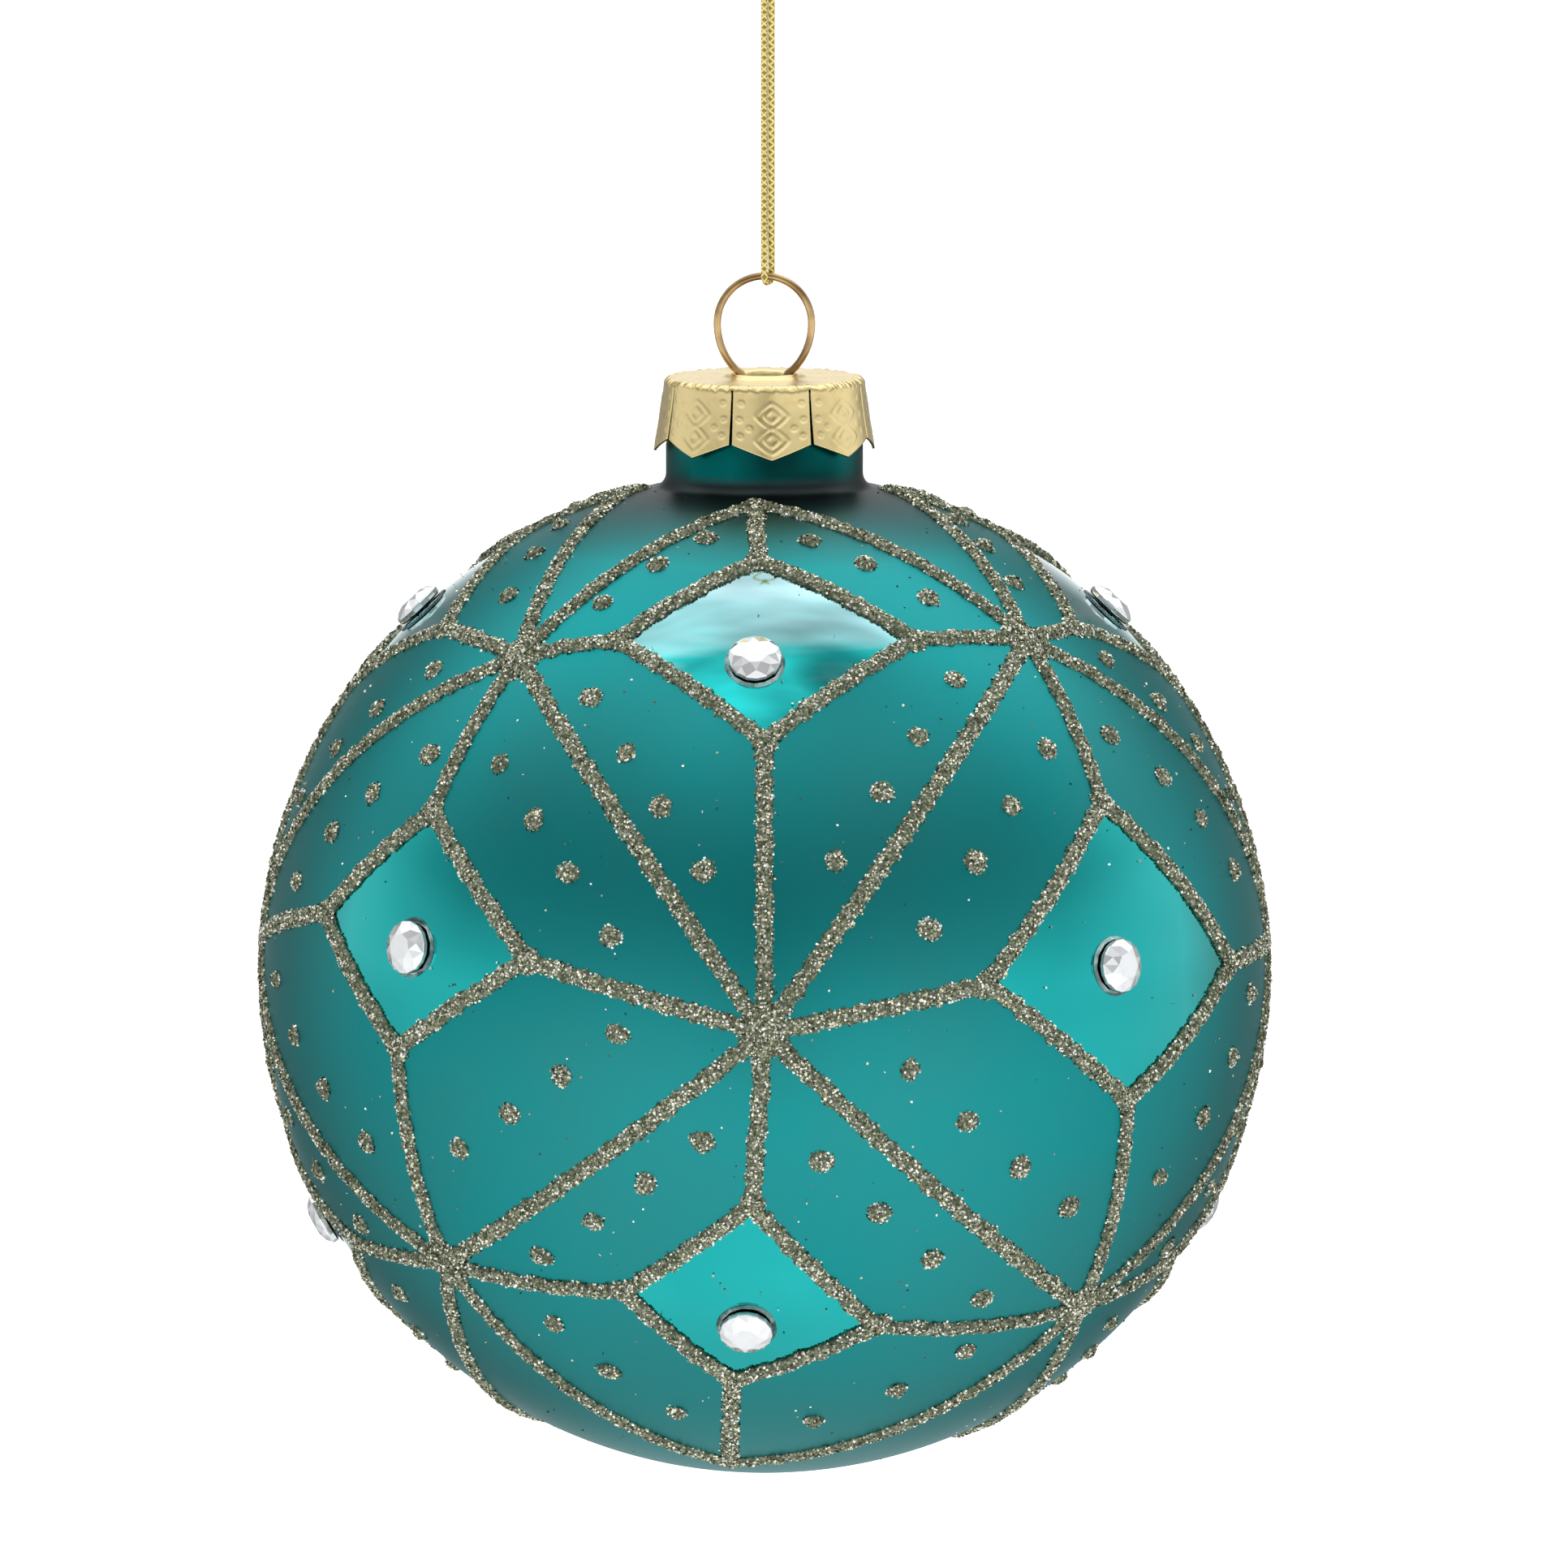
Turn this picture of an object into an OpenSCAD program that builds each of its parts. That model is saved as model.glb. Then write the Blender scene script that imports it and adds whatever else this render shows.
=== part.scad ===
// Glass ball ornament: a blown glass ball under a frosted coat, with glued glitter lines, dots and
// stones, a pressed tin cap, a wire ring and a loop of cord. The origin is the point in the cord's
// eye where the hook bears. Z points up, and the side with the single top diamond faces -Y.

/* [Ball] */
// Outside diameter of the ball over its coat
ball_d = 100; // [96:1:104]
// Wall thickness of the blown glass
glass_t = 0.9; // [0.8:0.1:1.1]
// Outside diameter of the neck, coat included, where it shows
neck_d = 19.6; // [19.4:0.1:19.8]
// Outside diameter of the bare glass inside the cap
mouth_d = 18.4; // [18:0.1:18.6]
// Radius of the hollow curve between neck and ball
neck_curve = 1.5; // [1:0.1:2.5]
// Height of the glass rim above the centre of that curve
neck_h = 9; // [8.8:0.1:10]
// Thickness of the frosted coat
coat_t = 0.15; // [0.1:0.05:0.2]

/* [Cap] */
// Diameter of the crown
cap_d = 19.6; // [19.4:0.1:20]
// Diameter of the skirt at the petal tips
skirt_d = 21.3; // [21.1:0.1:22]
// Height from the petal tips to the crown
cap_h = 7.1; // [6.8:0.1:7.6]
// How far each petal tip hangs below the foot of a slit
tip_h = 1.5; // [1:0.1:2]
// Number of petals
petals = 8; // [6:1:10]
// Turn of the petals about the cap's axis
petal_turn = 4; // [0:1:20]
// Width of a slit
slit_w = 0.3; // [0.2:0.05:0.5]
// Thickness of the tin
tin_t = 0.3; // [0.2:0.05:0.35]
// Diameter of the round hole for the wire
hole_d = 6; // [5.9:0.1:6.6]

/* [Wire] */
// Thickness of the wire
wire_d = 0.75; // [0.7:0.05:0.8]
// Outside width of the ring
ring_d = 10.1; // [9.8:0.1:10.6]
// Height of the ring's top above the crown
ring_rise = 10.6; // [10.4:0.1:11]

/* [Cord] */
// Thickness of the cord
cord_d = 0.7; // [0.6:0.05:0.7]

/* [Glitter] */
// Width of a glitter line
line_w = 2.2; // [1.8:0.1:2.4]
// Height of a glitter line or dot
line_h = 0.7; // [0.5:0.1:0.8]
// Diameter of a dot
dot_d = 2.2; // [1.8:0.1:2.6]
// Diameter of the blob where seven or eight lines meet
hub_d = 7.9; // [7.9:0.1:8.2]
// Diameter of the blob where three lines meet
joint_d = 4; // [4:0.1:4.2]

/* [Stones] */
// Diameter of a stone across its girdle
stone_d = 5.2; // [4.6:0.1:5.6]
// Height of a stone
stone_h = 1.5; // [1.2:0.1:2]
// Height of the clear glue under it
glue_h = 0.2; // [0.2:0.05:0.3]

/* [Hidden] */

ball_r = ball_d / 2;
neck_r = neck_d / 2;
mouth_r = mouth_d / 2;
rest_gap = 0.03;                    // air between parts that only rest on each other
curve_r = neck_r + neck_curve;      // distance of the hollow curve's centre from the axis
curve_in = 0.01;                    // the hollow curve dips this far into the ball, for a clean seam
curve_z = sqrt(pow(ball_r + neck_curve - curve_in, 2) - pow(curve_r, 2));
rim_z = curve_z + neck_h;
crown_z = rim_z + rest_gap + tin_t;
ring_z = crown_z + ring_rise;       // top of the ring
hook_h = 43;                        // the hook above the ring's top, as the cord's route is drawn
ball_z = -hook_h - ring_z;          // every part below the cord is drawn about the ball's centre
bare_z = curve_z + 2.8;             // the coat ends here, under the skirt
taper_z = bare_z + 2;               // the glass has its mouth's width from here up

// ---- the pattern, on half of the ball: it repeats when turned by 180 degrees -------------------
// Each crossing is [latitude, longitude], with longitude 0 in front and growing to the right.
mid_hubs = [[2, 0], [4, 90]];
upper_hubs = [[46.5, 48], [44.5, 138]];
lower_hubs = [[-35.5, 49.5], [-28.5, 135]];
top_joints = [[75, -4], [75, 88]];
low_joints = [[-66.5, -10], [-66.5, 80]];
// Each diamond is its top, right, bottom and left corner.
diamonds = [
    [[62, -1.5], [48, 26], [35, 0], [48, -25.5]],
    [[62, 89], [46.5, 114.5], [35, 90], [47, 63]],
    [[25.5, 46.5], [4.5, 66.5], [-8.5, 45.5], [6.5, 25.5]],
    [[24.5, 135], [9, 152.5], [-2.5, 134.5], [11, 119]],
    [[-18, -1.5], [-35, 15.5], [-44, -5], [-30, -18.5]],
    [[-19, 90], [-29, 112.5], [-43, 92], [-32, 71]]
];
stone_spots = [[45.5, -1.5], [47, 90], [7, 43.5], [9, 136], [-35, -2.5], [-29, 94]];
// Rows of dots beside the line from a middle hub or an end joint: how far to its left, in mm,
// and the share of the line's length at each dot.
high_row = [0.33, 0.49, 0.63, 0.79];
low_row = [0.25, 0.41, 0.57, 0.74];
end_row = [0.26, 0.46, 0.69];
foot_row = [0.3, 0.53, 0.73];

function at(list, i, k) = list[i] + [0, k < 2 ? 0 : 180];
function mid(k) = at(mid_hubs, k % 2, k);
function upper(k) = at(upper_hubs, k % 2, k);
function lower(k) = at(lower_hubs, k % 2, k);
function high(k) = at(top_joints, k % 2, k);
function low(k) = at(low_joints, k % 2, k);
function back(k) = (k + 3) % 4;
function diamond(row, k) = [for (c = diamonds[2 * row + k % 2]) c + [0, k < 2 ? 0 : 180]];
function spot(row, k) = at(stone_spots, 2 * row + k % 2, k);

// The lines of quarter k that leave a diamond's corner for a hub
function corner_lines(k) = [
    [diamond(0, k)[1], upper(k)], [diamond(0, k)[2], mid(k)], [diamond(0, k)[3], upper(back(k))],
    [diamond(1, k)[0], upper(k)], [diamond(1, k)[1], mid((k + 1) % 4)],
    [diamond(1, k)[2], lower(k)], [diamond(1, k)[3], mid(k)],
    [diamond(2, k)[0], mid(k)], [diamond(2, k)[1], lower(k)], [diamond(2, k)[3], lower(back(k))]
];
// The lines that join two hubs, those from an end joint to a hub, and the short ones between joints
function hub_lines(k) = [for (h = [upper(k), upper(back(k)), lower(k), lower(back(k))]) [mid(k), h]];
function end_lines(k) = [
    [high(k), upper(k)], [high(k), upper(back(k))], [low(k), lower(k)], [low(k), lower(back(k))]
];
function short_lines(k) = [[diamond(0, k)[0], high(k)], [diamond(2, k)[2], low(k)]];
// The 12 rows of dots of quarter k: start, end, distance to the left, shares of the length
function dot_rows(k) = [
    [mid(k), upper(back(k)), -4, high_row], [mid(k), upper(back(k)), 7, high_row],
    [mid(k), upper(k), 4, high_row], [mid(k), upper(k), -7.3, high_row],
    [mid(k), lower(k), 7, low_row], [mid(k), lower(k), -5.3, low_row],
    [mid(k), lower(back(k)), 4.6, low_row], [mid(k), lower(back(k)), -8.6, low_row],
    [high(k), upper(back(k)), 2.6, end_row], [high(k), upper(k), -4.4, end_row],
    [low(k), lower(back(k)), -7.3, foot_row], [low(k), lower(k), 8, foot_row]
];

// ---- directions on the ball --------------------------------------------------------------------
function unit(v) = v / norm(v);
function dir(p) = [cos(p[0]) * sin(p[1]), -cos(p[0]) * cos(p[1]), sin(p[0])];
function arc_deg(mm) = mm / ball_r * 180 / PI;
// The point at angle t from a towards b, and the side direction at right angles to both
function side(a, b) = unit(cross(a, b));
function along(a, b, t) = cos(t) * a + sin(t) * cross(side(a, b), a);
function beside(a, b, t, s) = cos(s) * along(a, b, t) + sin(s) * side(a, b);
function angle_of(a, b) = acos(a * b);
function centre(c) = unit(dir(c[0]) + dir(c[1]) + dir(c[2]) + dir(c[3]));
function shrunk(c, s) = [for (p = c) unit(centre(c) + (dir(p) - centre(c)) * s)];
// A frame whose Z points out of the ball at direction v
function out_frame(v) =
    let (x = unit(cross([0, 0, 1], v)), y = cross(v, x))
    [[x[0], y[0], v[0], 0], [x[1], y[1], v[1], 0], [x[2], y[2], v[2], 0]];
// A frame whose X points out of the ball at a, with Z to the side
function arc_frame(a, b) =
    let (z = side(a, b), y = cross(z, a))
    [[a[0], y[0], z[0], 0], [a[1], y[1], z[1], 0], [a[2], y[2], z[2], 0]];

// ---- a round tube along a list of points ---------------------------------------------------------
function heading(p, i) =
    unit(p[min(i + 1, len(p) - 1)] - p[max(i - 1, 0)]);
function ring_at(c, d, r, n) =
    let (u = unit(cross(d, abs(d[1]) < 0.9 ? [0, 1, 0] : [1, 0, 0])), v = cross(d, u))
    [for (j = [0:n - 1]) c + r * (cos(360 * j / n) * u + sin(360 * j / n) * v)];
module tube(p, r, n) {
    rings = [for (i = [0:len(p) - 1]) ring_at(p[i], heading(p, i), r, n)];
    last = (len(p) - 1) * n;
    polyhedron(
        points = [for (ring = rings) each ring],
        faces = concat(
            [[for (j = [0:n - 1]) j]],
            [for (i = [0:len(p) - 2]) for (j = [0:n - 1])
                [i * n + j, (i + 1) * n + j, (i + 1) * n + (j + 1) % n, i * n + (j + 1) % n]],
            [[for (j = [0:n - 1]) last + n - 1 - j]]
        ),
        convexity = 10
    );
}

// ---- wire and cord routes ------------------------------------------------------------------------
bend_r = (ring_d - wire_d) / 2;
ring_mid = ring_rise - wire_d / 2 - bend_r;         // ring's centre above the crown
low_r = ring_mid + 0.25;                            // the ring's lower half is this much longer
leave = 30;                                         // angle from the bottom where a leg turns down
ring_steps = 30;
// One leg below the crown: in through the hole, then out against the neck's wall
leg = [[2.16, 0.1], [2.05, -0.5], [1.8, -1.3], [1.55, -2.2], [1.6, -3.2], [2, -4.4], [4, -10], [6, -15.6],
    [7.5, -19.8], [7.4, -20.6]];
function wire_route() = concat(
    [for (i = [len(leg) - 1:-1:0]) [leg[i][0], 0, leg[i][1]]],
    [for (i = [0:ring_steps])
        let (t = leave + i * (360 - 2 * leave) / ring_steps)
        [bend_r * sin(t), 0, ring_mid - (cos(t) > 0 ? low_r : bend_r) * cos(t)]],
    [for (q = leg) [-q[0], 0, q[1]]]
);
// Half of the cord, from the knot through one side of the eye and down to the ring
eye_side = [[0.3, 0, 0.9], [1.4, 0, 0.1], [2.5, 0, -1.6], [3, 0, -4], [2.7, 0, -6.4], [1.9, 0, -8.6],
    [1.1, 0, -10.6], [0.6, 0, -12.4]];
pair = 0.72;                                        // between the middles of the two straight legs
front_leg = concat(
    [for (q = eye_side) [-q[0], 0, q[2]]],
    [[-0.2, 0, -14.4]],
    [for (z = [-16.4:-2:-38.4]) [0, 0, z]],
    [[0, -0.26, -40.4], [0, -0.6, -42.1], [0, -0.82, -43.37], [0.03, -0.71, -43.79], [0.15, -0.41, -44.09]]
);
back_leg = concat(
    [for (q = eye_side) q],
    [[0.6, 0, -14.4]],
    [for (z = [-16.4:-2:-38.4]) [pair, 0, z]],
    [[pair, 0.26, -40.4], [pair, 0.6, -42.1], [pair, 0.82, -43.37], [pair - 0.03, 0.71, -43.79],
    [pair - 0.15, 0.41, -44.09]]
);
function cord_route() = concat(
    front_leg,
    [[pair / 2, 0, -44.2]],
    [for (i = [len(back_leg) - 1:-1:0]) back_leg[i]]
);

// ---- glass and coat ------------------------------------------------------------------------------
// Half of the section of a filled ball with a neck: ball radius r, neck radius n, neck up to top
module section(r, n, curve, top) {
    deep = 0.8;
    intersection() {
        union() {
            circle(r, $fn = 180);
            difference() {
                polygon([[-1, deep * curve_z], [deep * curve_r, deep * curve_z], [curve_r, curve_z],
                    [n, curve_z], [n, top], [-1, top]]);
                translate([curve_r, curve_z])
                    circle(curve, $fn = 48);
            }
        }
        translate([0, -r - 1])
            square([r + 1, r + top + 2]);
    }
}

module glass_ball() {
    glass_r = ball_r - coat_t;
    inner_r = glass_r - glass_t;
    bore_r = mouth_r - glass_t;
    color([0.05, 0.5, 0.5])
    translate([0, 0, ball_z])
    rotate_extrude($fn = 180)
    difference() {
        union() {
            section(glass_r, neck_r - coat_t, neck_curve + coat_t, bare_z);
            polygon([[0, bare_z - 1], [neck_r - coat_t, bare_z - 1], [neck_r - coat_t, bare_z],
                [mouth_r, taper_z], [mouth_r, rim_z], [0, rim_z]]);
        }
        circle(inner_r, $fn = 180);
        translate([-1, 0])
            square([bore_r + 1, rim_z + 1]);
    }
}

// A block whose four sides point at the ball's centre, to cut a diamond's window from the coat
module window(row, k) {
    inside = 0.9 * ball_r;
    outside = 1.1 * ball_r;
    reach = 10.3;                   // from a window's middle to its sides, about
    c = shrunk(diamond(row, k), 1 - line_w / 2 / reach);
    polyhedron(
        points = concat(inside * c, outside * c),
        faces = [[3, 2, 1, 0], [4, 5, 6, 7], [1, 5, 4, 0], [2, 6, 5, 1], [3, 7, 6, 2], [0, 4, 7, 3]]
    );
}

module frost_coat() {
    color([0.1, 0.42, 0.42])
    translate([0, 0, ball_z])
    difference() {
        rotate_extrude($fn = 180)
        difference() {
            section(ball_r, neck_r, neck_curve, bare_z);
            section(ball_r - coat_t, neck_r - coat_t, neck_curve + coat_t, bare_z + 1);
        }
        for (row = [0:2]) for (k = [0:3]) window(row, k);
    }
}

// ---- cap -------------------------------------------------------------------------------------------
module cap() {
    crown_r = cap_d / 2;
    tip_r = skirt_d / 2;
    foot_z = crown_z - cap_h;
    edge = 0.4;
    pitch = 360 / petals;
    reach = tip_r * tan(pitch / 2) + 0.05;
    depth = 2;                      // the cuts start this far inside the crown's edge
    beyond = 3;                     // and end this far outside it
    closed = 0.8;                   // the slits stop this far below the crown
    color([0.85, 0.74, 0.45])
    translate([0, 0, ball_z])
    difference() {
        rotate_extrude($fn = 120)
        polygon([[hole_d / 2, crown_z - tin_t], [hole_d / 2, crown_z], [crown_r - edge, crown_z],
            [crown_r, crown_z - edge], [tip_r, foot_z], [tip_r - tin_t, foot_z],
            [crown_r - tin_t, crown_z - tin_t - edge], [crown_r - tin_t, crown_z - tin_t]]);
        for (i = [0:petals - 1]) rotate([0, 0, petal_turn + (i + 0.5) * pitch - 90]) {
            translate([crown_r - depth, -slit_w / 2, foot_z - 1])
                cube([depth + beyond, slit_w, cap_h + 1 - closed]);
            translate([crown_r - depth, 0, foot_z])
            rotate([90, 0, 90])
            linear_extrude(depth + beyond)
                polygon([[-reach, -0.01], [0, tip_h], [reach, -0.01]]);
        }
    }
}

// ---- wire and cord ---------------------------------------------------------------------------------
module wire_hanger() {
    color([0.72, 0.55, 0.3])
    translate([0, 0, ball_z + crown_z])
        tube(wire_route(), wire_d / 2, 10);
}

module cord() {
    color([0.88, 0.8, 0.4])
        tube(cord_route(), cord_d / 2, 8);
}

// The overhand knot over the eye, with the two cut ends standing out of it
module knot() {
    lump_r = 1.15;
    lump_z = 1.6;
    lump_h = 1.1;
    end_l = 4.5;
    end_x = 0.4;
    end_z = 3;
    spread = 14;
    color([0.88, 0.8, 0.4]) {
        hull() {
            translate([0, 0, lump_z])
                sphere(lump_r, $fn = 24);
            translate([0.2, 0, lump_z + lump_h])
                sphere(0.9 * lump_r, $fn = 24);
        }
        for (s = [-1, 1])
            translate([end_x * s, 0, end_z])
            rotate([0, spread * s, 0])
                cylinder(h = end_l, d = cord_d, $fn = 24);
    }
}

// ---- glitter ---------------------------------------------------------------------------------------
// Radius of the circle that makes a bead of width w and height line_h
function bead_r(w) = (pow(line_h, 2) + pow(w / 2, 2)) / (2 * line_h);

// A domed bead of glitter that follows the ball from a to b, short of each end by the trims
module bead(a, b, trim_a, trim_b) {
    r = bead_r(line_w);
    start = along(a, b, arc_deg(trim_a));
    multmatrix(arc_frame(start, b))
    rotate_extrude(angle = angle_of(a, b) - arc_deg(trim_a + trim_b), $fn = 180)
    difference() {
        translate([ball_r + line_h - r, 0])
            circle(r, $fn = 24);
        translate([ball_r + rest_gap - 2 * r, -2 * r])
            square([2 * r, 4 * r]);
    }
}

// A round dome of glitter on the ball at direction v
module dome(v, w) {
    r = bead_r(w);
    multmatrix(out_frame(v))
    rotate_extrude($fn = 24)
    difference() {
        translate([0, ball_r + line_h - r])
            circle(r, $fn = 24);
        translate([-2 * r, ball_r + rest_gap - 2 * r])
            square([4 * r, 2 * r]);
        translate([-2 * r, ball_r - 2 * r])
            square([2 * r, 4 * r]);
    }
}

// How far a line stops short of a crossing, so that it meets the blob there without a clash
hub_trim = hub_d / 2 + rest_gap;
joint_trim = joint_d / 2 + rest_gap;

module glitter_net(k) {
    color([0.72, 0.68, 0.52])
    translate([0, 0, ball_z]) {
        for (l = concat(corner_lines(k), end_lines(k)))
            bead(dir(l[0]), dir(l[1]), joint_trim, hub_trim);
        for (l = hub_lines(k))
            bead(dir(l[0]), dir(l[1]), hub_trim, hub_trim);
        for (l = short_lines(k))
            bead(dir(l[0]), dir(l[1]), joint_trim, joint_trim);
        for (h = [mid(k), upper(k), lower(k)])
            dome(dir(h), hub_d);
        for (j = [high(k), low(k)])
            dome(dir(j), joint_d);
    }
}

module glitter_dots(k) {
    color([0.72, 0.68, 0.52])
    translate([0, 0, ball_z])
    for (row = dot_rows(k)) for (share = row[3]) {
        a = dir(row[0]);
        b = dir(row[1]);
        dome(beside(a, b, share * angle_of(a, b), arc_deg(row[2])), dot_d);
    }
}

module diamond_line(row, k) {
    c = diamond(row, k);
    color([0.72, 0.68, 0.52])
    translate([0, 0, ball_z])
    for (i = [0:3]) {
        bead(dir(c[i]), dir(c[(i + 1) % 4]), joint_trim, joint_trim);
        dome(dir(c[i]), joint_d);
    }
}

// ---- stones ----------------------------------------------------------------------------------------
module stone(row, k) {
    base_z = ball_r - coat_t + glue_h + rest_gap;
    back_share = 0.9;               // width of the foil back, as a share of the girdle's
    table_share = 0.62;             // and of the flat top
    girdle_z = 0.5;
    girdle_h = 0.15;
    table_h = 0.05;
    color([0.9, 0.93, 0.96])
    translate([0, 0, ball_z])
    multmatrix(out_frame(dir(spot(row, k))))
    translate([0, 0, base_z])
    hull() {
        cylinder(h = 0.1, d = back_share * stone_d, $fn = 16);
        translate([0, 0, girdle_z])
            cylinder(h = girdle_h, d = stone_d, $fn = 16);
        translate([0, 0, stone_h - table_h])
            cylinder(h = table_h, d = table_share * stone_d, $fn = 8);
    }
}

module stone_glue(row, k) {
    foot_r = 0.56 * stone_d;        // the glue has run out a little past the stone
    top_z = ball_r - coat_t + glue_h;
    color([0.8, 0.9, 0.9])
    translate([0, 0, ball_z])
    multmatrix(out_frame(dir(spot(row, k))))
    translate([0, 0, top_z - glue_h + rest_gap])
        cylinder(h = glue_h - rest_gap, r = foot_r, $fn = 48);
}

glass_ball();
frost_coat();
cap();
wire_hanger();
cord();
knot();
for (k = [0:3]) glitter_net(k);
for (k = [0:3]) glitter_dots(k);
for (i = [0:11]) diamond_line(floor(i / 4), i % 4);
for (i = [0:11]) stone(floor(i / 4), i % 4);
for (i = [0:11]) stone_glue(floor(i / 4), i % 4);
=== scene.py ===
import math

import bmesh
import bpy
import numpy as np
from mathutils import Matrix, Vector


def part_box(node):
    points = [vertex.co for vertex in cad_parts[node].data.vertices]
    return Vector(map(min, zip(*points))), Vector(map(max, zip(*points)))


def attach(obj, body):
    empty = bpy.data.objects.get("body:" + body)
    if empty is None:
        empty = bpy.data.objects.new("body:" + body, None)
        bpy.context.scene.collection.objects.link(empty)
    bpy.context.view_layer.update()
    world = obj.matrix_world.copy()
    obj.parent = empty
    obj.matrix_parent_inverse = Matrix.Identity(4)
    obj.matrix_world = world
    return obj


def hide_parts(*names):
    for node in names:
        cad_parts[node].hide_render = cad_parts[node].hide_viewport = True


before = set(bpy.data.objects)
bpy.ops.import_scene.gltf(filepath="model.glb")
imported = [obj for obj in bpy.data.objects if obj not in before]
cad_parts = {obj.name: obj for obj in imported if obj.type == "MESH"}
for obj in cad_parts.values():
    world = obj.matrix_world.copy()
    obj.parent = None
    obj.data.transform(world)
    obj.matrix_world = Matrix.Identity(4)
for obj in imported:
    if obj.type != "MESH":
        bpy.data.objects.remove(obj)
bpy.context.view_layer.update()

# ---- where the ball hangs -----------------------------------------------------------------------
# The ball hangs on its cord. Its coat gives its size and its middle, and everything below the
# cord is placed from there.
coat_low, coat_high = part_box("frost_coat")
ball_r = (coat_high.x - coat_low.x) / 2
mid_z = coat_low.z + ball_r
ball_mid = np.array([0.0, 0.0, mid_z])
crown_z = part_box("cap")[1].z

# ---- camera -------------------------------------------------------------------------------------
# A long lens looks slightly down at the ball, with the whole cap and ring and the start of the
# cord above it in view.
camera_far = 1.2
camera_rise = math.radians(8.7)
aim = Vector(ball_mid) + Vector((0.00194, 0, 0.01895))
seat = Vector(ball_mid) + camera_far * Vector((0, -math.cos(camera_rise), math.sin(camera_rise)))

lens = bpy.data.cameras.new("camera")
lens.lens = 275.65
lens.sensor_width = 36
lens.clip_start = 0.05
lens.clip_end = 60
camera = bpy.data.objects.new("camera", lens)
camera.location = seat
camera.rotation_euler = (aim - seat).to_track_quat("-Z", "Y").to_euler()
bpy.context.collection.objects.link(camera)
bpy.context.scene.camera = camera

# ---- cord ---------------------------------------------------------------------------------------
# A limp cord braided from metallic yarn, lemon gold and 0.7 mm thick. It goes down from its knot,
# once through the ring, where it is squeezed, and back up beside itself. The hook sits in its eye.
cord_d = 0.0007
cord_step = 0.00016
yarns = 2
braid_pitch = 0.0015
core_share = 0.45
yarn_share = 0.19
yarn_out = 0.33
yarn_dip = 0.05
squeeze = 0.35
squeeze_reach = 0.0009
cord_gold = (1.0, 0.84, 0.33)
cord_shade = (0.74, 0.58, 0.17)
core_shade = (0.17, 0.13, 0.02)

# The cord's middle line in mm: the eye, two straight legs side by side, and the turn under the wire.
legs_apart = 0.7
eye_side = [(0.3, 0.9), (1.4, 0.1), (2.5, -1.6), (3, -4), (2.7, -6.4), (1.9, -8.6), (1.1, -10.6)]
eye_side += [(0.6, -12.4)]
straight = np.arange(-16.4, -38.5, -2)
turn_in = [(0, -0.26, -40.4), (0, -0.6, -42.1), (0, -0.82, -43.37)]
turn_in += [(0.03, -0.7, -43.77), (0.15, -0.4, -44.03)]
bight = (legs_apart / 2, 0, -44.08)
front_leg = [(-x, 0, z) for x, z in eye_side] + [(-0.2, 0, -14.4)]
front_leg += [(0, 0, z) for z in straight] + turn_in
back_leg = [(x, 0, z) for x, z in eye_side] + [(0.6, 0, -14.4)]
back_leg += [(legs_apart, 0, z) for z in straight] + [(legs_apart - x, -y, z) for x, y, z in turn_in]
cord_route = front_leg + [bight] + back_leg[::-1]


def unit(v):
    return v / np.linalg.norm(v, axis=-1, keepdims=True)


def smooth_line(points, gap):
    """An even run of points, a gap apart, on a smooth curve through the given ones."""
    p = np.array(points, float)
    p = np.vstack([2 * p[0] - p[1], p, 2 * p[-1] - p[-2]])
    t = np.linspace(0, 1, 24, endpoint=False)[:, None]
    runs = []
    for a, b, c, d in zip(p, p[1:], p[2:], p[3:]):
        bend = 2 * a - 5 * b + 4 * c - d
        twist = 3 * b - a - 3 * c + d
        runs.append(0.5 * (2 * b + (c - a) * t + bend * t**2 + twist * t**3))
    dense = np.vstack([*runs, p[-2]])
    far = np.concatenate([[0], np.cumsum(np.linalg.norm(np.diff(dense, axis=0), axis=1))])
    stops = np.linspace(0, far[-1], max(2, round(far[-1] / gap)) + 1)
    return np.stack([np.interp(stops, far, dense[:, k]) for k in range(3)], axis=1)


def sides_of(line):
    """Two directions across a line at each point, turning with it and never spinning round it."""
    ahead = unit(np.gradient(line, axis=0))
    across = np.cross(ahead[0], [0.31, 1, 0.17])
    first = []
    for way in ahead:
        across = unit(across - way * (across @ way))
        first.append(across)
    first = np.array(first)
    return first, np.cross(ahead, first)


def tube(line, radius, sides):
    """Points and faces of a closed round tube with slightly rounded ends. Its radius may change."""
    first, second = sides_of(line)
    radii = np.broadcast_to(radius, len(line)).copy()
    radii[[0, -1]] *= 0.7
    turn = np.arange(sides) * 2 * np.pi / sides
    around = np.cos(turn)[:, None] * first[:, None] + np.sin(turn)[:, None] * second[:, None]
    points = (line[:, None] + radii[:, None, None] * around).reshape(-1, 3)
    ring = np.arange(sides)
    start = np.arange(len(line) - 1)[:, None] * sides
    after = start + sides
    corners = [start + ring, start + (ring + 1) % sides, after + (ring + 1) % sides, after + ring]
    faces = np.stack(corners, axis=-1).reshape(-1, 4)
    last = len(points) - sides
    return points, (faces, np.array([ring[::-1], last + ring]))


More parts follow.
